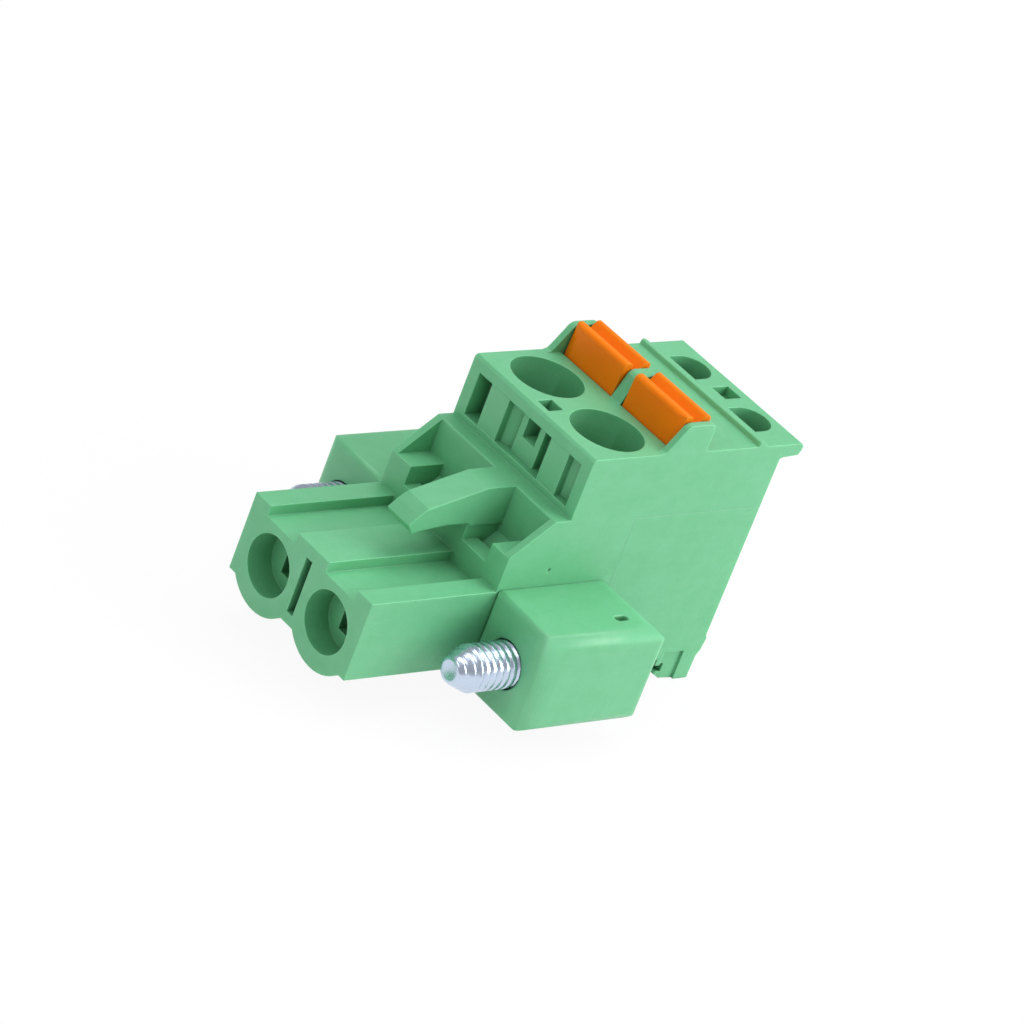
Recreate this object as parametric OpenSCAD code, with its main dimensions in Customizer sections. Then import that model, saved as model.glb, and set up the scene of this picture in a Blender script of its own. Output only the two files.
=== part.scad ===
// Two-pole pluggable terminal block, 5.08 mm pitch: the wires enter from above,
// the plug mates forwards along -X. Origin: centre of the mating face at the
// height of the socket axes. X runs back into the plug, Y across the poles.

/* [Poles] */
// Distance between the two poles
pitch = 5.08; // [5.00:0.01:5.50]
// Radius of the round socket in the mating face
socket_r = 1.66; // [1.4:0.01:1.75]
// Depth of the round socket
socket_depth = 8.9; // [8.6:0.1:9.4]
// Length of the socket's round mouth, which guides the header's collar
mouth_len = 1.6; // [1.4:0.1:1.8]
// Thickness of the floor behind the mouth
mouth_floor = 0.7; // [0.5:0.1:0.8]
// Width of the opening in that floor, for the header's pin
pin_way_w = 1.12; // [1.1:0.02:1.4]
// Height of the opening in that floor
pin_way_h = 1.8; // [1.6:0.05:2.1]
// Radius of the cavity behind the floor
inner_r = 1.5; // [1.46:0.01:1.52]

/* [Mating block] */
// Length of the block that enters the header
block_len = 8.2; // [7.8:0.1:9.0]
// Height of the three ridges above the socket axis
ridge_z = 2.76; // [2.6:0.01:2.9]
// Height of the groove floors above the socket axis
groove_z = 2.16; // [1.95:0.01:2.35]
// Half width of the middle ridge
mid_ridge = 1.33; // [1.0:0.01:1.6]
// Width of each outer ridge
side_ridge = 1.27; // [1.0:0.01:1.5]
// Depth of the block's straight sides below the socket axis
side_drop = 1.78; // [1.5:0.01:2.0]
// Radius of the round wall under each socket
bulge_r = 2.69; // [2.5:0.01:2.8]
// Width of the slot between the two sockets
key_slot_w = 0.5; // [0.3:0.05:0.7]
// Depth of the slot between the two sockets
key_slot_depth = 5.0; // [3.0:0.5:6.0]

/* [Pocket frame] */
// Height of the frame's front edge
frame_front_z = 4.75; // [4.4:0.05:5.0]
// Height of the frame's top
frame_top_z = 6.76; // [6.4:0.02:7.0]
// Back wall of the two pockets
pocket_back_x = 10.45; // [10.2:0.05:10.7]
// Thickness of the frame's side walls
frame_wall = 0.42; // [0.3:0.02:0.6]
// Height of the sill in the front wall
sill_z = 3.65; // [3.3:0.05:3.9]
// Length of the sill from front to back
sill_len = 1.1; // [0.8:0.05:1.4]
// Width of the notch over each pole
notch_w = 2.0; // [1.6:0.05:2.2]
// Height of the pocket floor
pocket_floor_z = 3.3; // [3.1:0.05:3.6]

/* [Latch hook] */
// Width of the latch hook
hook_w = 1.8; // [1.4:0.05:2.0]
// Sideways offset of the hook's middle from the middle of the plug
hook_y = -0.85; // [-0.95:0.05:0]
// Front end of the hook
hook_tip_x = 4.0; // [3.6:0.05:4.6]
// Underside of the hook's arm
hook_under_z = 4.72; // [4.5:0.02:4.9]

/* [Wire-entry block] */
// Front wall of the wire-entry block
wall_x = 11.5; // [11.3:0.05:11.7]
// Height of the deck
deck_z = 10.37; // [10.0:0.01:10.8]
// Distance of the wire funnels from the mating face
funnel_x = 14.42; // [14.3:0.02:14.6]
// Radius of the wire funnels
funnel_r = 2.03; // [1.9:0.01:2.06]
// Radius of the inner wire hole below the funnel
wire_r = 1.25; // [1.0:0.05:1.4]
// Rear wall of the plug
rear_x = 25.0; // [24.6:0.05:25.4]
// Underside of the plug
under_z = -2.8; // [-3.0:0.05:-2.7]
// Wall between a clamp chamber and the plug's side
side_wall = 0.6; // [0.5:0.02:0.8]
// Wall between the two clamp chambers
mid_wall = 1.2; // [0.9:0.05:1.6]

/* [Front window] */
// Lower edge of the window
window_z = 7.15; // [7.0:0.05:7.4]
// Height of the window
window_h = 2.5; // [2.2:0.05:2.7]
// Wall beside the window at each side of the plug
window_side = 0.73; // [0.6:0.01:0.9]
// Wall around each funnel, seen through the window
funnel_wall = 0.5; // [0.4:0.02:0.6]
// Width of the flat rib in front of each funnel
funnel_rib = 1.5; // [1.3:0.05:1.7]
// Width of the panel between the two funnels
panel_w = 1.8; // [1.6:0.05:2.0]

/* [Lip] */
// Rear edge of the lip
lip_x = 26.4; // [26.2:0.05:26.8]
// Thickness of the lip
lip_t = 0.76; // [0.6:0.02:0.9]
// Flat front edge of the test openings
test_x = 24.0; // [23.9:0.02:24.1]
// Half width of the test openings
test_r = 1.15; // [1.0:0.01:1.25]
// Length of the test openings from front to back
test_len = 1.8; // [1.6:0.02:1.9]
// Depth of the test openings
test_depth = 2.2; // [1.8:0.1:2.4]
// Wall of the rounded bosses behind the test openings
boss_wall = 0.5; // [0.4:0.02:0.56]
// Front of the small rib across the deck
rib_x = 23.05; // [22.9:0.05:23.2]
// Height of the rib
rib_h = 0.28; // [0.2:0.02:0.35]

/* [Levers] */
// Front face of the levers at the deck
lever_x = 17.2; // [17.1:0.02:17.3]
// Length of the levers from front to back
lever_len = 1.95; // [1.85:0.02:2.0]
// Width of the levers
lever_w = 4.16; // [3.9:0.02:4.2]
// Height of the levers' tops
lever_top_z = 12.26; // [12.1:0.02:12.4]
// Height of the raised walls beside the levers
wall_top_z = 12.0; // [11.8:0.02:12.2]
// Depth of the screwdriver groove
lever_groove = 0.8; // [0.5:0.05:1.0]
// Travel of a pressed lever
lever_travel = 1.3; // [1.0:0.1:1.5]
// Gap between a lever and its slot
slide_gap = 0.08; // [0.05:0.01:0.1]

/* [Rear cover] */
// Front seam of the cover
seam_x = 16.05; // [15.9:0.05:16.2]
// Upper seam of the cover
seam_z = 6.55; // [6.4:0.05:6.7]
// Thickness of the rear wall
rear_wall = 0.95; // [0.8:0.05:1.0]
// Front end of the foot
foot_x = 22.05; // [21.5:0.05:22.5]
// Underside of the foot
foot_z = -4.22; // [-4.4:0.02:-4.0]

/* [Screw flanges] */
// Width of a flange beyond the housing
flange_w = 4.84; // [4.6:0.02:5.0]
// Length of a flange
flange_len = 8.3; // [8.0:0.1:8.8]
// Top of the flanges
flange_top_z = 2.85; // [2.7:0.01:2.95]
// Underside of the flanges
flange_under_z = -2.8; // [-2.9:0.01:-2.6]
// Radius of the flanges' long outer edges
flange_edge_r = 0.8; // [0.5:0.05:1.1]
// Radius of the flanges' rear corners, seen from the side
flange_rear_r = 1.5; // [0.8:0.1:1.6]
// Height of the screws' axes above the socket axes
screw_z = -0.12; // [-0.25:0.01:0]
// Distance of a screw from the housing's side
screw_y = 2.2; // [2.1:0.02:2.4]
// Radius of the screws' thread
screw_r = 1.25; // [1.1:0.01:1.25]
// Running clearance around a screw
screw_gap = 0.06; // [0.04:0.01:0.1]
// How far the screws stand out of the flanges
screw_out = 3.65; // [3.5:0.05:4.4]
// Radius of the screws' shank behind the thread
shank_r = 0.95; // [0.9:0.01:1.0]
// Radius of the screw heads
head_r = 1.95; // [1.8:0.05:2.05]
// Height of the screw heads
head_len = 1.6; // [1.3:0.1:1.8]

/* [Metal parts] */
// Thickness of the current bars
bar_t = 0.8; // [0.6:0.05:0.9]
// Width of the current bars
bar_w = 2.4; // [2.0:0.1:2.5]
// Thickness of the fork's two arms
fork_t = 0.4; // [0.3:0.02:0.45]
// Width of the fork
fork_w = 1.5; // [1.3:0.05:1.6]
// Thickness of the clamp springs' strip
spring_t = 0.35; // [0.25:0.01:0.4]
// Width of the clamp springs
spring_w = 2.6; // [2.2:0.1:2.8]

/* [Hidden] */
$fn = 48;

green = [0.36, 0.70, 0.49];
orange = [0.95, 0.47, 0.04];
zinc = [0.78, 0.82, 0.88];
tin = [0.80, 0.79, 0.76];
steel = [0.62, 0.63, 0.65];

cut = 0.5;          // how far a cutter runs past the face that it opens
poles = [1, 2];
half_w = pitch;     // two poles, each half a pitch either side of its own axis
function pole_y(i) = (i - 1.5) * pitch;
function side(i) = i == 1 ? -1 : 1;

chamber_w = half_w - side_wall - mid_wall / 2;
function chamber_y(i) = side(i) * (mid_wall / 2 + chamber_w / 2);

// A drawing in X and Z becomes a slab of width w about the plane y.
module along_y(w, y = 0)
    translate([0, y, 0]) rotate([90, 0, 0]) linear_extrude(w, center = true) children();

// A drawing in Y and Z becomes a bar that runs back from x0 to x1.
module along_x(x0, x1)
    translate([x0, 0, 0]) rotate([90, 0, 90]) linear_extrude(x1 - x0) children();

module box(low, high) translate(low) cube(high - low);

// A rectangle whose four corners have their own radii, in the order
// low-low, high-low, high-high, low-high; a radius of 0 leaves a corner sharp.
module round_rect(low, high, radii) {
    corner = [low, [high[0], low[1]], high, [low[0], high[1]]];
    inward = [[1, 1], [-1, 1], [-1, -1], [1, -1]];
    difference() {
        translate(low) square(high - low);
        for (k = [0 : 3]) if (radii[k] > 0) difference() {
            translate(corner[k] + inward[k] * (radii[k] - cut) / 2) square(radii[k] + cut, center = true);
            translate(corner[k] + inward[k] * radii[k]) circle(radii[k]);
        }
    }
}

// Outline of a bent strip of thickness t that follows the points of a path.
function unit(v) = v / norm(v);
function turned(v) = [-v[1], v[0]];
function mitre(path, i) =
    let (last = len(path) - 1,
         before = turned(unit(path[max(i, 1)] - path[max(i, 1) - 1])),
         after = turned(unit(path[min(i, last - 1) + 1] - path[min(i, last - 1)])))
    (before + after) / (1 + before * after);
function strip(path, t) = concat(
    [for (i = [0 : len(path) - 1]) path[i] + mitre(path, i) * t / 2],
    [for (i = [len(path) - 1 : -1 : 0]) path[i] - mitre(path, i) * t / 2]);

// ---------------------------------------------------------------- housing
slot_step_z = 8.0;      // foot of the lever slots, where the clamp chambers widen
entry_z = 5.0;          // roof of the clamp chambers below the funnels
chamber_x = 12.2;       // front of the clamp chambers
chamber_floor = under_z + 0.9;
channel_z = 1.3;        // half height of the passage from a socket to its chamber
lap = 0.24;             // thickness of the cover's outer skin at its lapped seam
lap_h = 0.6;
frame_slope_x = 10.5;
edge = 0.15;            // small chamfer on the moulding's outer edges
notch_y = -0.1;         // the notches sit a little off the pole axes
pedestal_x = [16.3, 19.27];     // front foot and rear of the walls beside the levers
divider_w = pitch - lever_w - 2 * slide_gap;
side_post = half_w - divider_w / 2 - lever_w - 2 * slide_gap;
slot_front_x = lever_x - 0.25;  // front of the clamp chambers' upper part
hole_half = 0.5;                // half width of the coding hole
hole_z = 8.18;
pit_rise = 0.45;
lever_back_x = lever_x + lever_len;

// Side view of housing and cover together, without foot.
module side_view() polygon([
    [block_len, under_z], [rear_x - 0.15, under_z], [rear_x, under_z + 0.3],
    [rear_x + 0.13, -1.75], [rear_x, -1.5], [rear_x, deck_z - lip_t - 0.1],
    [rear_x + 0.2, deck_z - lip_t], [lip_x - edge, deck_z - lip_t + edge / 2],
    [lip_x, deck_z - lip_t / 2], [lip_x, deck_z - edge], [lip_x - edge, deck_z],
    [wall_x + edge, deck_z], [wall_x, deck_z - edge], [wall_x, frame_top_z],
    [frame_slope_x, frame_top_z], [block_len, frame_front_z]]);

// Front view of the mating block.
module block_view() {
    difference() {
        translate([-half_w, -side_drop]) square([2 * half_w, side_drop + ridge_z]);
        for (s = [-1, 1]) {
            low = min(s * mid_ridge, s * (half_w - side_ridge));
            translate([low, groove_z]) square([half_w - side_ridge - mid_ridge, cut + ridge_z]);
        }
    }
    for (i = poles) intersection() {
        translate([pole_y(i), 0]) circle(bulge_r);
        translate([-half_w, -bulge_r]) square([2 * half_w, bulge_r]);
    }
}

// The latch hook: a fixed arm that reaches forward over the block.
module hook_view() polygon([
    [pocket_back_x + 0.2, frame_front_z - 0.2], [pocket_back_x + 0.2, frame_top_z],
    [9.2, frame_top_z + 0.02], [8.6, frame_top_z], [5.0, 5.78], [4.5, 5.4],
    [hook_tip_x, 4.9], [hook_tip_x + 0.45, hook_under_z - 0.35],
    [hook_tip_x + 0.8, hook_under_z - 0.22], [6.6, hook_under_z], [block_len, hook_under_z],
    [block_len, frame_front_z - 0.2]]);

// Everything above the block's level, between the frame's side walls, less the notches.
module pockets() {
    inner = half_w - frame_wall;
    box([block_len - cut, -inner, frame_front_z], [pocket_back_x, inner, frame_top_z + cut]);
    for (i = poles) along_y(notch_w, pole_y(i) + notch_y) polygon([
        [block_len - cut, sill_z], [block_len + sill_len, sill_z],
        [block_len + sill_len, pocket_floor_z], [block_len + sill_len + 0.3, pocket_floor_z],
        [pocket_back_x, pocket_floor_z + pit_rise * 1.6], [pocket_back_x, frame_front_z + cut],
        [block_len - cut, frame_front_z + cut]]);
}

// Window in the front wall: the round funnel walls show through it, each with
// a flat rib in front, and a narrow panel between them.
rib_front_x = wall_x + 0.05;
panel_x = wall_x + 0.5;
module window() {
    y = half_w - window_side;
    difference() {
        box([wall_x - cut, -y, window_z], [funnel_x - 1.4, y, window_z + window_h]);
        for (i = poles) translate([funnel_x, pole_y(i), 0]) {
            cylinder(r = funnel_r + funnel_wall, h = deck_z);
            box([rib_front_x - funnel_x, -funnel_rib / 2, 0], [0, funnel_rib / 2, deck_z]);
        }
        box([panel_x, -panel_w / 2, 0], [funnel_x, panel_w / 2, deck_z]);
    }
    // coding hole: in through the window's middle panel, out through the deck
    box([wall_x, -hole_half, hole_z], [13.05, hole_half, window_z + window_h - cut / 2]);
    box([13.05 - 2 * hole_half, -hole_half, hole_z], [13.05, hole_half, deck_z + cut]);
}

// Round way in for one wire.
funnel_foot_z = 6.6;
cone_foot_z = 5.6;
module wire_entry(i) translate([funnel_x, pole_y(i), 0]) {
    translate([0, 0, funnel_foot_z]) cylinder(r = funnel_r, h = deck_z - funnel_foot_z + cut);
    translate([0, 0, cone_foot_z])
        cylinder(r1 = wire_r, r2 = funnel_r, h = funnel_foot_z - cone_foot_z);
    translate([0, 0, entry_z - cut]) cylinder(r = wire_r, h = cone_foot_z - entry_z + 2 * cut);
}

// Chamber of one clamp, drawn from the side.
module chamber(i) along_y(chamber_w, chamber_y(i)) polygon([
    [chamber_x, chamber_floor], [rear_x - rear_wall, chamber_floor],
    [rear_x - rear_wall, slot_step_z], [slot_front_x, slot_step_z],
    [slot_front_x, entry_z], [chamber_x, entry_z]]);

// Socket: round mouth, floor with an upright opening, and the fork's cavity. The
// passage behind it has side grooves that hold the current bar.
cavity_x = mouth_len + mouth_floor;
module socket(i) translate([0, pole_y(i), 0]) {
    translate([-cut, 0, 0]) rotate([0, 90, 0]) cylinder(r = socket_r, h = mouth_len + cut);
    box([0, -pin_way_w / 2, -pin_way_h / 2], [cavity_x + 0.1, pin_way_w / 2, pin_way_h / 2]);
    translate([cavity_x, 0, 0]) rotate([0, 90, 0]) cylinder(r = inner_r, h = socket_depth - cavity_x);
    box([socket_depth - 0.1, -bar_w / 2 - 0.1, -channel_z], [chamber_x + 0.1, bar_w / 2 + 0.1, channel_z]);
    box([barb_x[0], -barb_w / 2, -bar_t / 2], [chamber_x + 0.1, barb_w / 2, bar_t / 2]);
}

// Slot that one lever slides in.
module lever_slot(i) {
    w = lever_w / 2 + slide_gap;
    translate([0, pole_y(i), 0])
        box([lever_x - slide_gap, -w, slot_step_z], [lever_back_x + slide_gap, w, lever_top_z + cut]);
}

// The two D-shaped test openings, and the square marker recess between them.
round_x = test_x + test_len - test_r;   // middle of the openings' round ends
module lip_openings() {
    floor_z = deck_z - test_depth;
    for (i = poles) translate([0, pole_y(i), 0]) {
        box([test_x, -test_r, floor_z], [round_x, test_r, deck_z + cut]);
        translate([round_x, 0, floor_z]) cylinder(r = test_r, h = test_depth + cut);
        // way down to the contact for a test probe
        box([rear_x - rear_wall - cut, -0.5, slot_step_z - cut], [test_x + 0.6, 0.5, floor_z + 0.25]);
    }
    // recess for a marker between the openings
    box([marker_x, -marker_w / 2, deck_z - 0.6], [marker_x + marker_len, marker_w / 2, deck_z + cut]);
}
marker_x = 24.5;
marker_len = 1.2;
marker_w = 1.16;

// Rounded bosses under the lip that wall in the test openings.
module bosses() {
    boss_r = test_r + boss_wall;
    boss_z = deck_z - test_depth - boss_wall;
    for (i = poles) intersection() {
        translate([round_x, pole_y(i), boss_z - boss_r])
            cylinder(r = boss_r, h = deck_z - boss_z + boss_r - edge);
        along_y(2 * half_w) polygon([
            [rear_x - rear_wall, deck_z], [rear_x + 2, deck_z], [rear_x + 2, boss_z + 2],
            [rear_x, boss_z], [rear_x - rear_wall, boss_z]]);
    }
}

module rib() along_y(2 * half_w) polygon([
    [rib_x, deck_z - cut], [rib_x, deck_z], [rib_x + 0.08, deck_z + rib_h - 0.03],
    [rib_x + 0.2, deck_z + rib_h], [rib_x + 0.38, deck_z + rib_h - 0.04],
    [rib_x + 0.75, deck_z], [rib_x + 0.75, deck_z - cut]]);

// Raised walls at both sides of the levers, and the lower divider between them.
module pedestals() {
    front = pedestal_x[0];
    back = pedestal_x[1];
    difference() {
        along_y(2 * half_w) polygon([
            [front - 0.2, deck_z - cut], [front - 0.2, deck_z], [front + 0.1, deck_z + 0.1],
            [front + 0.3, deck_z + 0.35], [front + 0.9, wall_top_z - 0.38],
            [front + 1.02, wall_top_z - 0.18], [front + 1.2, wall_top_z - 0.05],
            [front + 1.4, wall_top_z], [back - 0.25, wall_top_z], [back - 0.07, wall_top_z - 0.07],
            [back, wall_top_z - 0.25], [back, deck_z - cut]]);
        box([front - 1, -half_w + side_post, deck_z - 1], [back + 1, half_w - side_post, wall_top_z + 1]);
    }
    along_y(divider_w) polygon([
        [lever_x - 0.1, deck_z - cut], [lever_x - 0.1, deck_z], [lever_x + 0.45, wall_top_z - 0.2],
        [lever_x + 0.6, wall_top_z - 0.06], [lever_x + 0.75, wall_top_z], [back - 0.25, wall_top_z],
        [back, wall_top_z - 0.25], [back, deck_z - cut]]);
}

// Upright dovetail groove that one flange slides into from below.
rail_x = 10.5;
rail_w = 1.6;
rail_depth = 0.6;
rail_top = 1.6;
module rail(gap) {
    y0 = half_w - rail_depth - gap;
    front = rail_x - rail_w / 2 - gap;
    back = rail_x + rail_w / 2 + gap;
    translate([0, 0, under_z - cut]) linear_extrude(rail_top + gap - under_z + cut) polygon([
        [front - 0.3, y0], [back + 0.3, y0], [back, half_w + 0.01], [front, half_w + 0.01]]);
}

// The region that belongs to the rear cover, with its lapped seam.
module cover_region() {
    box([seam_x, -2 * half_w, foot_z - 1], [rear_x + 1, 2 * half_w, seam_z]);
    box([seam_x + lap, -half_w + lap, foot_z], [rear_x - lap, half_w - lap, seam_z + lap_h]);
}

module housing() color(green) difference() {
    union() {
        along_x(0, block_len + 0.1) block_view();
        difference() {
            along_y(2 * half_w) side_view();
            cover_region();
            pockets();
        }
        along_y(hook_w, hook_y) hook_view();
        pedestals();
        bosses();
        rib();
    }
    window();
    lip_openings();
    for (i = poles) {
        socket(i);
        wire_entry(i);
        chamber(i);
        lever_slot(i);
        mirror([0, 2 - i, 0]) rail(0.03);
    }
    box([-cut, -key_slot_w / 2, -1.2], [key_slot_depth, key_slot_w / 2, 2.04]);
    // gate mark of the moulding
    translate([wall_x - 0.2, -half_w, sill_z + 0.15]) rotate([90, 0, 0])
        cylinder(r = 0.12, h = 0.14, center = true);
}

// ------------------------------------------------------------- rear cover
module foot() difference() {
    along_y(2 * half_w) polygon([
        [foot_x, under_z + 0.3], [foot_x, foot_z + 0.55], [foot_x + 0.75, foot_z + 0.08],
        [foot_x + 1.8, foot_z], [rear_x - 0.2, foot_z], [rear_x - 0.15, under_z + 0.3]]);
    for (s = [-1, 1]) translate([0, s * half_w, 0]) {
        box([foot_x - cut, -1.2, foot_z + 0.5], [foot_x + 0.72, 1.2, foot_z + 1.02]);
    }
}

module rear_cover() color(green) difference() {
    union() {
        intersection() {
            along_y(2 * half_w) side_view();
            cover_region();
        }
        foot();
    }
    for (i = poles) difference() {
        chamber(i);
        bar_rest(i);
    }
    for (s = [-1, 1]) translate([0, s * half_w, 0])
        box([foot_x + 0.3, -0.15, foot_z - cut], [foot_x + 1.75, 0.15, under_z + 0.4]);
}

// Upstand on the cover's floor that carries the end of a current bar.
module bar_rest(i) {
    w = chamber_w / 2 + cut;
    translate([0, pole_y(i), 0])
        box([bar_end_x - 1.2, -w, chamber_floor - cut], [bar_end_x - 0.3, w, -bar_t / 2]);
}

// ---------------------------------------------------------------- flanges
flange_y = half_w + flange_w;
screw_axis_y = half_w + screw_y;
flange_back = block_len + flange_len;
head_seat_x = flange_back - 3.2;
head_room = 0.25;

plan_r = [0.3, 0.5, 0.8, 1.3];      // upright edges: inner front, inner rear, outer rear, outer front

// One keyed flange, drawn on the +Y side; the other is its mirror image.
module flange(i) color(green) mirror([0, i == 1 ? 1 : 0, 0]) difference() {
    union() {
        intersection() {
            along_x(block_len, flange_back) round_rect([half_w, flange_under_z], [flange_y, flange_top_z],
                [0, flange_edge_r, flange_edge_r, 0]);
            translate([0, 0, flange_under_z - cut]) linear_extrude(flange_top_z - flange_under_z + 2 * cut)
                round_rect([block_len, half_w], [flange_back, flange_y], plan_r);
            along_y(4 * half_w, flange_y) round_rect([block_len, flange_under_z],
                [flange_back, flange_top_z], [0.35, flange_rear_r, flange_rear_r, 0.35]);
        }
        intersection() {
            rail(0);
            box([0, 0, flange_under_z], [rear_x, flange_y, flange_top_z]);
        }
    }
    translate([block_len - cut, screw_axis_y, screw_z]) rotate([0, 90, 0])
        cylinder(r = screw_r + screw_gap, h = flange_len + 2 * cut);
    translate([head_seat_x, screw_axis_y, screw_z]) rotate([0, 90, 0])
        cylinder(r = head_r + head_room, h = flange_len);
    // small oval moulding dimple in the top
    translate([block_len + 5.85, screw_axis_y + 1.1, flange_top_z - 0.35]) {
        for (dx = [-dimple_r, dimple_r]) translate([dx, 0, 0]) cylinder(r = dimple_r, h = 1);
        translate([-dimple_r, -dimple_r, 0]) cube([2 * dimple_r, 2 * dimple_r, 1]);
    }
}
dimple_r = 0.22;

// Captive screw: thread, narrower shank inside the flange, slotted head.
point_len = 1.0;
point_r = 0.72;
thread_end_x = block_len - 0.1;
module flange_screw(i) color(zinc)
    translate([0, side(i) * screw_axis_y, screw_z]) rotate([0, 90, 0]) {
        tip_x = block_len - screw_out;
        translate([0, 0, tip_x]) cylinder(r1 = point_r, r2 = screw_r, h = point_len);
        translate([0, 0, tip_x + point_len]) cylinder(r = screw_r, h = thread_end_x - tip_x - point_len);
        translate([0, 0, thread_end_x - 0.1]) cylinder(r = shank_r, h = head_seat_x - thread_end_x + 0.3);
        difference() {
            translate([0, 0, head_seat_x + 0.05]) cylinder(r = head_r, h = head_len);
            // driver slot
            translate([-0.3, -head_r - 1, head_seat_x + head_len - 0.65]) cube([0.6, 2 * head_r + 2, 2]);
        }
    }

// ----------------------------------------------------------------- levers
leg_angle = 24;
loop = [20.6, 4.2];
loop_r = 1.4;
nose_x = 18.15;
nose_r = 0.72;
seat_gap = 0.04;
leg_top = loop + loop_r * [-sin(leg_angle), cos(leg_angle)];
function leg_z(x) = leg_top[1] - (leg_top[0] - x) * tan(leg_angle);
nose_z = leg_z(nose_x) + (nose_r + spring_t / 2 + seat_gap) / cos(leg_angle);

lever_lean = 4;                 // degrees that the lever's front face leans back
bevel_w = 0.45;                 // shallow bevel along the front face's outer end
bevel_angle = 13;
module lever_bevel(i) mirror([0, i == 1 ? 1 : 0, 0])
    translate([lever_x, pitch / 2 + lever_w / 2 - bevel_w, deck_z]) rotate([0, lever_lean, 0])
        rotate([0, 0, -bevel_angle]) translate([-1, 0, -0.7]) cube([1, 1, 4]);

module lever(i) color(orange) {
    mid = lever_x + 0.68;           // front edge of the groove
    shoulder_z = slot_step_z + lever_travel + 0.05;
    // the two leaves, as wide as the slot
    difference() {
        along_y(lever_w, pole_y(i)) polygon([
            [lever_x, shoulder_z], [lever_x, deck_z], [lever_x + 0.12, lever_top_z - 0.2],
            [lever_x + 0.18, lever_top_z - 0.08], [lever_x + 0.3, lever_top_z],
            [mid - 0.1, lever_top_z], [mid, lever_top_z - 0.08],
            [mid + 0.06, lever_top_z - lever_groove], [mid + 0.22, lever_top_z - lever_groove],
            [mid + 0.8, lever_top_z - 0.12], [mid + 0.9, lever_top_z - 0.02], [mid + 0.98, lever_top_z],
            [lever_back_x - 0.14, lever_top_z], [lever_back_x - 0.04, lever_top_z - 0.05],
            [lever_back_x, lever_top_z - 0.16], [lever_back_x, shoulder_z]]);
        lever_bevel(i);
    }
    // the narrower shank, with the nib that holds the lever in
    along_y(chamber_w - 0.3, chamber_y(i)) polygon([
        [lever_x, shoulder_z + 0.1], [lever_x, nose_z + 1.2], [nose_x - nose_r, nose_z],
        [nose_x + nose_r, nose_z], [lever_back_x, nose_z + 1.0], [lever_back_x + 0.4, slot_step_z - 0.8],
        [lever_back_x + 0.4, slot_step_z - 0.05], [lever_back_x, slot_step_z - 0.05],
        [lever_back_x, shoulder_z + 0.1]]);
    // round nose that presses the spring
    translate([nose_x, chamber_y(i), nose_z]) rotate([90, 0, 0])
        cylinder(r = nose_r, h = chamber_w - 0.3, center = true);
}

// --------------------------------------------------------------- contacts
bar_end_x = 18.4;
plate_x = 12.5;
plate_top = 4.8;
barb_x = [9.6, 11.6];
barb_w = bar_w + 0.7;
fork_arm = [[9.2, 0.55], [8.2, 0.55], [7.7, 0.84], [6.0, 0.84], [3.3, 0.6], [2.6, 0.84]];

module contact(i) color(tin) {
    translate([0, pole_y(i), 0]) {
        // current bar with the barbs that hold it in the housing
        box([8.5, -bar_w / 2, -bar_t / 2], [bar_end_x, bar_w / 2, bar_t / 2]);
        box([barb_x[0], -barb_w / 2, -bar_t / 2], [barb_x[1], barb_w / 2, bar_t / 2]);
        // upright plate that the wire is pressed against
        box([plate_x, -bar_w / 2, 0], [plate_x + bar_t, bar_w / 2, plate_top]);
    }
    fork(i);
}

module fork(i)
    for (s = [0, 1]) mirror([0, 0, s]) along_y(fork_w, pole_y(i)) polygon(strip(fork_arm, fork_t));

over_t = 0.2;           // sheet of the steel spring round the fork
blade_w = 1.3;
band_x = fork_arm[3][0] + 0.2;
band_len = 1.0;
arm_z = fork_arm[3][1] + fork_t / 2;
blade_line = [fork_arm[3] + [band_len, 0], fork_arm[3], fork_arm[4]];
blade_path = [for (p = blade_line) p + [0, (fork_t + over_t) / 2]];

module overspring(i) color(steel) difference() {
    intersection() {
        union() {
            // two blades along the fork's arms
            for (s = [0, 1]) mirror([0, 0, s])
                along_y(blade_w, pole_y(i)) polygon(strip(blade_path, over_t));
            // band round the fork
            translate([0, pole_y(i), 0]) difference() {
                box([band_x, -fork_w / 2 - over_t, -arm_z - over_t],
                    [band_x + band_len, fork_w / 2 + over_t, arm_z + over_t]);
                box([band_x - cut, -fork_w / 2, -arm_z], [band_x + band_len + cut, fork_w / 2, arm_z]);
            }
        }
        translate([0, pole_y(i), 0]) rotate([0, 90, 0]) cylinder(r = inner_r - 0.06, h = socket_depth);
    }
    fork(i);
}

// ---------------------------------------------------------- clamp springs
foot_angle = 28;
leg_tip_x = plate_x + bar_t + 0.25;
foot_top = loop + loop_r * [sin(foot_angle), -cos(foot_angle)];
rest_z = bar_t / 2 + spring_t / 2;
foot_end_x = foot_top[0] - (foot_top[1] - rest_z) / tan(foot_angle);
spring_path = concat(
    [[leg_tip_x, leg_z(leg_tip_x)]],
    [for (a = [90 + leg_angle : -15 : foot_angle - 90]) loop + loop_r * [cos(a), sin(a)]],
    [foot_top, [foot_end_x, rest_z], [foot_end_x - 2.2, rest_z]]);

module clamp_spring(i) color(steel)
    along_y(spring_w, pole_y(i)) polygon(strip(spring_path, spring_t));

module flange_1() flange(1);
module flange_2() flange(2);
module flange_screw_1() flange_screw(1);
module flange_screw_2() flange_screw(2);
module lever_1() lever(1);
module lever_2() lever(2);
module contact_1() contact(1);
module contact_2() contact(2);
module overspring_1() overspring(1);
module overspring_2() overspring(2);
module clamp_spring_1() clamp_spring(1);
module clamp_spring_2() clamp_spring(2);

housing();
rear_cover();
flange_1();
flange_2();
flange_screw_1();
flange_screw_2();
lever_1();
lever_2();
contact_1();
contact_2();
overspring_1();
overspring_2();
clamp_spring_1();
clamp_spring_2();
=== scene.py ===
import math

import bmesh
import bpy
from mathutils import Matrix, Vector


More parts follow.
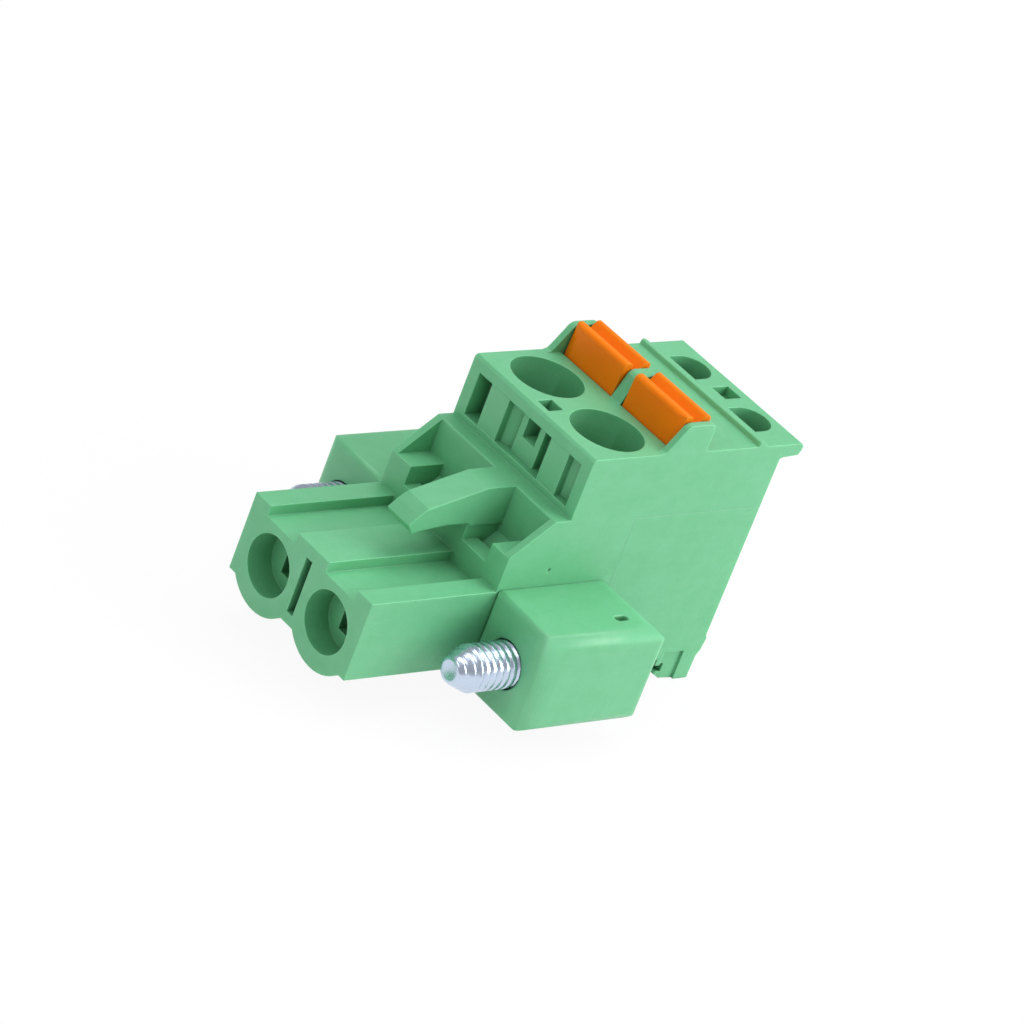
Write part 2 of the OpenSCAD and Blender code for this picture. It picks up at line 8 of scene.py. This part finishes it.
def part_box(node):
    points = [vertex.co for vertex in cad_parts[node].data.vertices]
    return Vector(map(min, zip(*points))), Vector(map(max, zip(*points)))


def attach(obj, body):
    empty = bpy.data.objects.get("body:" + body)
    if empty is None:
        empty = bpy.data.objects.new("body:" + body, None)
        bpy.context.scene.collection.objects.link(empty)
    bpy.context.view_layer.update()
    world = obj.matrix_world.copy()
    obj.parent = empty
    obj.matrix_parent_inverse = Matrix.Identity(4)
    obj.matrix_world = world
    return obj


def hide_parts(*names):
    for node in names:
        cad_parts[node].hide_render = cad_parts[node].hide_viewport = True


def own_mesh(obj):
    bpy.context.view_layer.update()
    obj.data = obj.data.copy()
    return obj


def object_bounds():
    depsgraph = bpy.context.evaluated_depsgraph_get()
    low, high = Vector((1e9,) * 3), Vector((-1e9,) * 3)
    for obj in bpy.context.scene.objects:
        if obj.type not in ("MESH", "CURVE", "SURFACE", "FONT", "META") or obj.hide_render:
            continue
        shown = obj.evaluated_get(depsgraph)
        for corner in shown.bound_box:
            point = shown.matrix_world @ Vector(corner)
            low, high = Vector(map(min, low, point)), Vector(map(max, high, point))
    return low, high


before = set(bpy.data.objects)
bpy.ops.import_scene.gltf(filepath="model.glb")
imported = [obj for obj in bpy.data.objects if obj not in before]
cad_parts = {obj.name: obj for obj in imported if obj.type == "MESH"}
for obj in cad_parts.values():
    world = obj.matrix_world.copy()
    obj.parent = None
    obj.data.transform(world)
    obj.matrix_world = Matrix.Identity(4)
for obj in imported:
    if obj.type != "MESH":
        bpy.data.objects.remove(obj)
cad_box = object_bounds()

scene = bpy.context.scene
mm = 0.001

# --- Moulded body --------------------------------------------------------------
# The body is injection-moulded polyamide, pale green and slightly translucent. The
# tool leaves a fine spark-eroded grain on every face, faint flow marks and soft
# edges. The rear cover is pressed on, so its seam shows as a thin line.


class Signal:
    """One output socket of a material. Operators on it add Math nodes."""

    def __init__(self, tree, output=None):
        self.tree = tree
        self.output = output

    def node(self, kind, settings=None, inputs=None, output=0):
        """Adds one node: its settings go first, then values or links for its sockets."""
        node = self.tree.nodes.new(kind)
        for name, value in (settings or {}).items():
            if name == "stops":
                ramp = node.color_ramp.elements
                for index, (place, colour) in enumerate(value):
                    stop = ramp[index] if index < 2 else ramp.new(place)
                    stop.position = place
                    stop.color = (*colour, 1)
            else:
                setattr(node, name, value)
        for name, value in (inputs or {}).items():
            socket = node.inputs[name]
            if isinstance(value, Signal):
                self.tree.links.new(value.output, socket)
            else:
                socket.default_value = value
        return Signal(self.tree, node.outputs[output])

    def maths(self, operation, first, second, clamp=False):
        settings = {"operation": operation, "use_clamp": clamp}
        return self.node("ShaderNodeMath", settings, {0: first, 1: second})

    def __add__(self, other):
        return self.maths("ADD", self, other)

    def __sub__(self, other):
        return self.maths("SUBTRACT", self, other)

    def __rsub__(self, other):
        return self.maths("SUBTRACT", other, self)

    def __mul__(self, other):
        return self.maths("MULTIPLY", self, other)

    __radd__ = __add__
    __rmul__ = __mul__


def new_finish(name):
    """Returns a bare material, its Principled shader and a Signal to draw it with."""
    material = bpy.data.materials.new(name)
    material.use_nodes = True
    tree = material.node_tree
    shader = tree.nodes["Principled BSDF"]
    return material, shader, Signal(tree)


def noise(sheet, place, per_mm, detail=2.0, roughness=0.5):
    """Noise with a given number of blobs per millimetre, from 0 to 1."""
    return sheet.node("ShaderNodeTexNoise", None, {
        "Vector": place, "Scale": per_mm / mm, "Detail": detail, "Roughness": roughness})


def mix_colour(sheet, share, first, second):
    return sheet.node("ShaderNodeMix", {"data_type": "RGBA"}, {
        "Factor": share, 6: first, 7: second}, output=2)


def moulded(name, pale, deep, grain, edge_radius):
    """Moulded plastic: two shades that drift into each other, flow lines, fine pores,
    a few hairline scuffs, soft edges with a painted highlight, and painted shade in corners,
    slots and bores."""
    material, shader, sheet = new_finish(name)
    place = sheet.node("ShaderNodeTexCoord", output="Object")
    soft_edge = sheet.node("ShaderNodeBevel", {"samples": 8}, {"Radius": edge_radius})

    # how far the rounded normal leaves the true one: 0 on a face, 1 on an edge; this masks the
    # painted edge highlight
    true_normal = sheet.node("ShaderNodeNewGeometry", output="True Normal")
    meeting = sheet.node("ShaderNodeVectorMath", {"operation": "DOT_PRODUCT"}, {
        0: soft_edge, 1: true_normal}, output="Value")
    edge_highlight = sheet.maths("MULTIPLY", 1.0 - meeting, 5.0, clamp=True)

    # how open the place is: painted shade darkens the colour in corners, slots and bores
    openness = sheet.node("ShaderNodeAmbientOcclusion", {"samples": 6}, {"Distance": 5.0 * mm},
                          output="AO")
    painted_hollow_shade = sheet.maths("MULTIPLY", 0.38 - openness, 2.4, clamp=True)

    drift = noise(sheet, place, 0.22, 3.0)
    patches = noise(sheet, place, 1.1, 4.0, 0.65)
    speckle = noise(sheet, place, 11.0, 1.0)
    flow_place = sheet.node("ShaderNodeMapping", None, {
        "Vector": place, "Scale": (0.22, 1.0, 1.7)})
    flow_lines = noise(sheet, flow_place, 0.9, 4.0, 0.6)
    shade = drift * 0.45 + flow_lines * 0.4 + patches * 0.6 + speckle * 0.35
    shade = sheet.maths("MULTIPLY", shade - 0.45, 1.25, clamp=True)

    # hairlines: thin level lines of a long-drawn noise, broken up by a second one
    hair_place = sheet.node("ShaderNodeMapping", None, {
        "Vector": place, "Rotation": (0.3, 0.7, 0.5), "Scale": (0.2, 1.0, 1.0)})
    hair = noise(sheet, hair_place, 0.8, 2.0, 0.5)
    away = sheet.maths("ABSOLUTE", hair - 0.5, 0.0)
    line = sheet.maths("MULTIPLY", 1.0 - away * 260.0, 1.0, clamp=True)
    broken = sheet.maths("MULTIPLY", noise(sheet, place, 0.5, 2.0) - 0.52, 9.0, clamp=True)
    scuff = line * broken

    tone = mix_colour(sheet, shade, (*pale, 1), (*deep, 1))
    # painted highlight: edges take a paler colour; hairline scuffs take the same paler colour as
    # wear
    highlight_and_scuff_colour = tuple(min(1.0, part * grain["highlight_and_scuff_tone"] + 0.02) for part in pale)
    tone = mix_colour(sheet, sheet.maths("MAXIMUM", edge_highlight * 0.7, scuff * 0.22), tone, (*highlight_and_scuff_colour, 1))
    # painted shade: corners, slots and bores take the dark hollow colour
    tone = mix_colour(sheet, painted_hollow_shade, tone, (*grain["painted_hollow_shade"], 1))
    sheet.tree.links.new(tone.output, shader.inputs["Base Color"])
    rough = patches * 0.18 + (grain["roughness"] - 0.06) + scuff * 0.12
    sheet.tree.links.new(rough.output, shader.inputs["Roughness"])

    fine = noise(sheet, place, grain["per_mm"], 2.0, 0.6)
    waves = noise(sheet, place, 0.45, 1.0)
    height = fine * grain["depth"] + waves * grain["sink"] - scuff * (0.002 * mm)
    bump = sheet.node("ShaderNodeBump", None, {
        "Strength": 1.0, "Distance": 1.0, "Height": height, "Normal": soft_edge})
    sheet.tree.links.new(bump.output, shader.inputs["Normal"])
    shader.inputs["Specular IOR Level"].default_value = 0.6
    return material, shader


def let_light_in(shader, weight, radius, depth):
    """Makes a moulding slightly translucent."""
    shader.inputs["Subsurface Weight"].default_value = weight
    shader.inputs["Subsurface Radius"].default_value = radius
    shader.inputs["Subsurface Scale"].default_value = depth


# the hollow colour is painted shade for corners, slots and bores; the highlight tone paints a
# highlight on edges and also colours scuffs
body_grain = {"roughness": 0.42, "per_mm": 9.0, "depth": 0.006 * mm, "sink": 0.02 * mm,
              "highlight_and_scuff_tone": 1.3, "painted_hollow_shade": (0.022, 0.122, 0.034)}
body_pale = (0.182, 0.560, 0.305)
body_deep = (0.120, 0.480, 0.222)
green_moulding, shader = moulded("green_moulding", body_pale, body_deep, body_grain, 0.09 * mm)
let_light_in(shader, 0.25, (0.4, 1.0, 0.5), 0.5 * mm)

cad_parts["rear_cover"].data.materials[0] = green_moulding


def show_mesh(name, mesh):
    """Turns a bmesh into an object in the scene."""
    data = bpy.data.meshes.new(name)
    mesh.to_mesh(data)
    mesh.free()
    obj = bpy.data.objects.new(name, data)
    scene.collection.objects.link(obj)
    return obj


def combine(obj, tool, operation):
    """Applies an exact boolean with a tool object, which is used up."""
    change = obj.modifiers.new(operation.lower(), "BOOLEAN")
    change.operation = operation
    change.solver = "EXACT"
    change.object = tool
    depsgraph = bpy.context.evaluated_depsgraph_get()
    obj.data = bpy.data.meshes.new_from_object(obj.evaluated_get(depsgraph))
    obj.modifiers.clear()
    bpy.data.objects.remove(tool)


def add_prism(mesh, first_end, second_end):
    """Adds a closed prism between two outlines with the same number of corners."""
    first = [mesh.verts.new(corner) for corner in first_end]
    second = [mesh.verts.new(corner) for corner in second_end]
    mesh.faces.new(first)
    mesh.faces.new(second)
    for k in range(len(first)):
        follow = (k + 1) % len(first)
        mesh.faces.new((first[k], first[follow], second[follow], second[k]))


def stand_in(node, body, added, finish):
    """A copy of a CAD node joined with added prisms; it takes the node's place."""
    bmesh.ops.recalc_face_normals(added, faces=added.faces)
    extra = show_mesh(f"{node}_added", added)
    whole = bpy.data.objects.new(f"{node}_body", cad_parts[node].data.copy())
    scene.collection.objects.link(whole)
    combine(whole, extra, "UNION")
    whole.data.materials.clear()
    whole.data.materials.append(finish)
    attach(whole, body)
    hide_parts(node)


# the test openings' front wall follows the deck and the rib's back slope, and a floor
# follows the sloped underside of the boss
test_x, test_round_x, test_r = 24.0 * mm, 24.65 * mm, 1.15 * mm
test_chord = 0.95 * mm
deck_z, test_floor_z = 10.37 * mm, 8.17 * mm
rib_back_x, rib_slope = 23.8 * mm, 0.64
fill_front_x = 23.45 * mm
boss_foot_x, boss_foot_z = 25.0 * mm, 7.69 * mm
floor_thickness = 0.5 * mm
overlap = 0.1 * mm
wall_profile = [
    (test_x, test_floor_z - overlap), (test_x, deck_z), (rib_back_x, deck_z),
    (fill_front_x, deck_z + (rib_back_x - fill_front_x) * rib_slope),
    (fill_front_x, test_floor_z - overlap)]
rim_turns = [math.radians(angle) for angle in range(-60, 61, 10)]
infill = bmesh.new()
for pole_y in (-2.54 * mm, 2.54 * mm):
    add_prism(infill, [(x, pole_y - test_chord, z) for x, z in wall_profile],
              [(x, pole_y + test_chord, z) for x, z in wall_profile])
    rim = [(test_round_x + (test_r + overlap) * math.cos(turn),
            pole_y + (test_r + overlap) * math.sin(turn)) for turn in rim_turns]
    add_prism(infill, [(x, y, boss_foot_z + x - boss_foot_x) for x, y in rim],
              [(x, y, boss_foot_z + x - boss_foot_x + floor_thickness) for x, y in rim])
stand_in("housing", "plug", infill, green_moulding)

# --- Screw flanges --------------------------------------------------------------
# Two keyed blocks of the same green moulding slide into dovetails in the body's
# sides. They are cut from a glossier tool than the body, with larger radii.
# the hollow colour is painted shade for corners, slots and bores; the highlight tone paints a
# highlight on edges and also colours scuffs
flange_grain = {"roughness": 0.34, "per_mm": 7.0, "depth": 0.0035 * mm, "sink": 0.03 * mm,
                "highlight_and_scuff_tone": 1.2, "painted_hollow_shade": (0.030, 0.150, 0.050)}
flange_moulding, shader = moulded("flange_moulding", body_pale, body_deep, flange_grain, 0.2 * mm)
let_light_in(shader, 0.25, (0.4, 1.0, 0.5), 0.5 * mm)

# a thin wall closes the screw head's pocket towards the body and follows the rounded corner
body_side_y, corner_x, corner_r = 5.08 * mm, 16.0 * mm, 0.5 * mm
pocket_seat_x = 13.1 * mm
wall_thickness = 0.16 * mm
wall_low_z, wall_high_z = -1.02 * mm, 0.78 * mm
wall_plan = [(pocket_seat_x, body_side_y + wall_thickness), (pocket_seat_x, body_side_y)]
for turn in (math.radians(angle) for angle in (0, 15, 30, 47.2)):
    wall_plan.append((corner_x + corner_r * math.sin(turn),
                      body_side_y + corner_r * (1 - math.cos(turn))))
for side, node in ((-1, "flange_1"), (1, "flange_2")):
    pocket_wall = bmesh.new()
    add_prism(pocket_wall, [(x, side * y, wall_low_z) for x, y in wall_plan],
              [(x, side * y, wall_high_z) for x, y in wall_plan])
    stand_in(node, "plug", pocket_wall, flange_moulding)

# --- Push levers ----------------------------------------------------------------
# One orange polyamide lever per pole slides down to open its clamp. A screwdriver
# groove parts its head into two leaves, and the tops are worn a little smoother.
# the hollow colour is painted shade for corners and slots; the highlight tone paints a bright
# highlight on the lever edges and also colours scuffs
lever_grain = {"roughness": 0.36, "per_mm": 8.0, "depth": 0.0035 * mm, "sink": 0.015 * mm,
               "highlight_and_scuff_tone": 1.5, "painted_hollow_shade": (0.430, 0.080, 0.0005)}
orange_moulding, shader = moulded("orange_moulding", (1.00, 0.250, 0.002), (0.95, 0.192, 0.001),
                                  lever_grain, 0.1 * mm)
let_light_in(shader, 0.15, (1.0, 0.5, 0.2), 0.25 * mm)
shader.inputs["Specular IOR Level"].default_value = 0.15
for node in ("lever_1", "lever_2"):
    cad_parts[node].data.materials[0] = orange_moulding

# --- Contacts -------------------------------------------------------------------
# Stamped copper alloy with a satin tin plate: a fork in each socket and a current
# bar that runs back into the clamp. Rolling left fine lines along the strip.


def metal(name, colour, roughness, lines_per_mm, stretch):
    """Bare or plated metal with fine lines that run along one direction."""
    material, shader, sheet = new_finish(name)
    place = sheet.node("ShaderNodeTexCoord", output="Object")
    run = sheet.node("ShaderNodeMapping", None, {"Vector": place, "Scale": stretch})
    lines = noise(sheet, run, lines_per_mm, 3.0, 0.6)
    cloud = noise(sheet, place, 1.2, 3.0)
    dark = tuple(0.78 * part for part in colour)
    sheet.tree.links.new(mix_colour(sheet, cloud * 0.6, (*colour, 1), (*dark, 1)).output,
                         shader.inputs["Base Color"])
    sheet.tree.links.new((lines * 0.2 + roughness).output, shader.inputs["Roughness"])
    soft_edge = sheet.node("ShaderNodeBevel", {"samples": 6}, {"Radius": 0.04 * mm})
    bump = sheet.node("ShaderNodeBump", None, {
        "Strength": 0.5, "Distance": 1.0, "Height": lines * (0.004 * mm), "Normal": soft_edge})
    sheet.tree.links.new(bump.output, shader.inputs["Normal"])
    shader.inputs["Metallic"].default_value = 1.0
    return material


tinned_copper = metal("tinned_copper", (0.74, 0.73, 0.70), 0.28, 12.0, (0.15, 1.0, 1.0))
for node in ("contact_1", "contact_2"):
    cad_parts[node].data.materials[0] = tinned_copper

# --- Springs --------------------------------------------------------------------
# Bright rolled stainless strip: an overspring keeps each fork tight, and a bent
# clamp spring holds the wire against the upright plate of the contact.
spring_steel = metal("spring_steel", (0.56, 0.56, 0.57), 0.2, 16.0, (1.0, 0.1, 1.0))
for node in ("overspring_1", "overspring_2"):
    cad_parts[node].data.materials[0] = spring_steel

# a pressed lever's nose lowers its clamp spring towards the foot that lies on the contact; here
# each spring is only copied into a mesh of its own on the plug, in its CAD place
for node, joint in (("clamp_spring_1", "lever_1_press"), ("clamp_spring_2", "lever_2_press")):
    spring = bpy.data.objects.new(f"{node}_bending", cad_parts[node].data.copy())
    spring.data.materials[0] = spring_steel
    scene.collection.objects.link(spring)
    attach(spring, "plug")
    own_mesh(spring)
    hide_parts(node)

# --- Flange screws --------------------------------------------------------------
# Captive M2.5 steel screws with a rolled thread, a plain shank and a slotted head,
# zinc plated with a bluish passivation. The point is a short cone with a flat end.
thread_pitch = 0.45 * mm
thread_depth = 0.12 * mm
major_radius = 1.25 * mm
point_radius = 0.74 * mm
point_slope = 0.5
slot_depth = 0.7 * mm
slot_width = 0.6 * mm
ring_steps = 96


def thread_radius(along, turn):
    """Radius of the rolled thread: broad, slightly crowned crests and narrow roots."""
    off_root = abs((along / thread_pitch - turn) % 1.0 - 0.5)
    root = max(0.0, 1.0 - off_root / 0.23)
    crown = 0.016 * mm * ((0.5 - off_root) / 0.5) ** 2
    radius = major_radius - thread_depth * root ** 0.85 - crown
    point = point_radius + (along - 0.08 * mm) * point_slope
    return min(radius, point - 0.35 * thread_depth * root)


def screw_outline(length, head_radius):
    """The screw from its point to its head, as pairs of distance and radius. A pair
    without a radius is on the thread."""
    shank = 0.95 * mm
    head_len = 1.6 * mm
    thread_end = 4.3 * mm
    step = thread_pitch / 14
    outline = [(0.09 * mm, 0.0), (0.07 * mm, 0.26 * mm), (0.02 * mm, 0.5 * mm),
               (0.0, 0.6 * mm), (0.02 * mm, 0.68 * mm)]
    count = int((thread_end - 0.08 * mm) / step)
    outline += [(0.08 * mm + step * k, None) for k in range(count)]
    head_at = length - head_len
    outline += [(thread_end, shank), (head_at - 0.02 * mm, shank), (head_at, shank + 0.03 * mm)]
    for along, radius in ((0.0, 0.94), (0.05, 1.0), (0.62, 1.0), (0.80, 0.975), (0.92, 0.92),
                          (0.98, 0.85), (1.0, 0.75)):
        outline.append((head_at + along * head_len, radius * head_radius))
    outline.append((length, 0.0))
    return outline


def make_screw(node):
    """Turns the threaded screw, saws its slot and puts it in the CAD screw's place."""
    low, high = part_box(node)
    centre_y = (low[1] + high[1]) / 2
    centre_z = (low[2] + high[2]) / 2
    mesh = bmesh.new()
    rings = []
    for along, radius in screw_outline(high[0] - low[0], (high[1] - low[1]) / 2):
        if radius == 0.0:
            rings.append([mesh.verts.new((low[0] + along, centre_y, centre_z))])
            continue
        ring = []
        for k in range(ring_steps):
            angle = 2 * math.pi * k / ring_steps
            here = thread_radius(along, k / ring_steps) if radius is None else radius
            ring.append(mesh.verts.new((low[0] + along, centre_y + here * math.cos(angle),
                                        centre_z + here * math.sin(angle))))
        rings.append(ring)
    for before, after in zip(rings, rings[1:]):
        for k in range(ring_steps):
            follow = (k + 1) % ring_steps
            if len(before) == 1:
                mesh.faces.new((before[0], after[follow], after[k]))
            elif len(after) == 1:
                mesh.faces.new((before[k], before[follow], after[0]))
            else:
                mesh.faces.new((before[k], before[follow], after[follow], after[k]))
    bmesh.ops.recalc_face_normals(mesh, faces=mesh.faces)
    screw = show_mesh(node + "_threaded", mesh)

    # driver slot, sawn across the head
    saw_size = Matrix.Diagonal((2 * mm, 5 * mm, slot_width, 1))
    saw_place = Matrix.Translation((high[0] - slot_depth + 1.0 * mm, centre_y, centre_z))
    saw = bmesh.new()
    bmesh.ops.create_cube(saw, size=1.0, matrix=saw_place @ saw_size)
    combine(screw, show_mesh("slot_saw", saw), "DIFFERENCE")
    for face in screw.data.polygons:
        face.use_smooth = True
    screw.data.set_sharp_from_angle(angle=math.radians(40))
    screw.data.materials.clear()
    screw.data.materials.append(zinc_steel)
    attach(screw, node)
    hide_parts(node)


zinc_steel = metal("zinc_steel", (0.64, 0.74, 0.90), 0.16, 6.0, (0.6, 1.0, 1.0))
for node in ("flange_screw_1", "flange_screw_2"):
    make_screw(node)

# --- Floor, light and camera ------------------------------------------------------
# A white sweep under the part. It keeps the part's soft shadow, and the camera sees
# it as white without more light falling on the part.
low, high = Vector(cad_box[0]), Vector(cad_box[1])
centre = (low + high) / 2
floor_grid = bmesh.new()
bmesh.ops.create_grid(floor_grid, x_segments=1, y_segments=1, size=1.5)
floor = show_mesh("floor", floor_grid)
floor.location = (0, 0, low[2])

floor_paper, shader, sheet = new_finish("floor_paper")
shader.inputs["Base Color"].default_value = (0.88, 0.88, 0.88, 1)
shader.inputs["Roughness"].default_value = 0.9
shader.inputs["Specular IOR Level"].default_value = 0.1
glow = sheet.node("ShaderNodeEmission", None, {"Color": (1, 1, 1, 1), "Strength": 1.0})
seen = sheet.node("ShaderNodeLightPath", output="Is Camera Ray")
gloss = sheet.node("ShaderNodeLightPath", output="Is Glossy Ray")
paper = Signal(sheet.tree, shader.outputs[0])
blend = sheet.node("ShaderNodeMixShader", None, {
    0: sheet.maths("MAXIMUM", seen, gloss) * 0.93, 1: paper, 2: glow})
sheet.tree.links.new(blend.output, sheet.tree.nodes["Material Output"].inputs["Surface"])
floor.data.materials.append(floor_paper)

world = bpy.data.worlds.new("studio")
scene.world = world
world.use_nodes = True
air = Signal(world.node_tree)
background = world.node_tree.nodes["Background"]
seen = air.node("ShaderNodeLightPath", output="Is Camera Ray")
background.inputs["Color"].default_value = (1, 1, 1, 1)
world.node_tree.links.new((seen * 0.56 + 0.44).output, background.inputs["Strength"])


def soft_box(name, place, size, power, aim):
    lamp_data = bpy.data.lights.new(name, "AREA")
    lamp_data.shape = "RECTANGLE"
    lamp_data.size, lamp_data.size_y = size
    lamp_data.energy = power
    lamp = bpy.data.objects.new(name, lamp_data)
    lamp.location = place
    lamp.rotation_euler = (Vector(aim) - Vector(place)).to_track_quat("-Z", "Y").to_euler()
    scene.collection.objects.link(lamp)


soft_box("key_light", centre + Vector((0.24, -0.26, 0.18)), (0.30, 0.30), 1.08, centre)
soft_box("top_light", centre + Vector((0.12, 0.02, 0.40)), (0.35, 0.35), 0.9, centre)
soft_box("front_light", centre + Vector((-0.30, -0.04, 0.30)), (0.25, 0.25), 0.32, centre)

camera_data = bpy.data.cameras.new("camera")
camera = bpy.data.objects.new("camera", camera_data)
azimuth, elevation, roll = math.radians(-138.45), math.radians(26.33), math.radians(21.45)
aim = Vector((12.86, 0.04, 3.84)) * mm
away = Vector((math.cos(azimuth) * math.cos(elevation), math.sin(azimuth) * math.cos(elevation),
               math.sin(elevation)))
camera.location = aim + away * (265.1 * mm)
level = (-away).to_track_quat("-Z", "Y").to_matrix()
camera.rotation_euler = (level @ Matrix.Rotation(roll, 3, "Z")).to_euler()
camera_data.lens = 181.97
camera_data.sensor_width = 36.0
camera_data.clip_start = 0.01
camera_data.clip_end = 20.0
scene.collection.objects.link(camera)
scene.camera = camera

scene.view_settings.view_transform = "Standard"
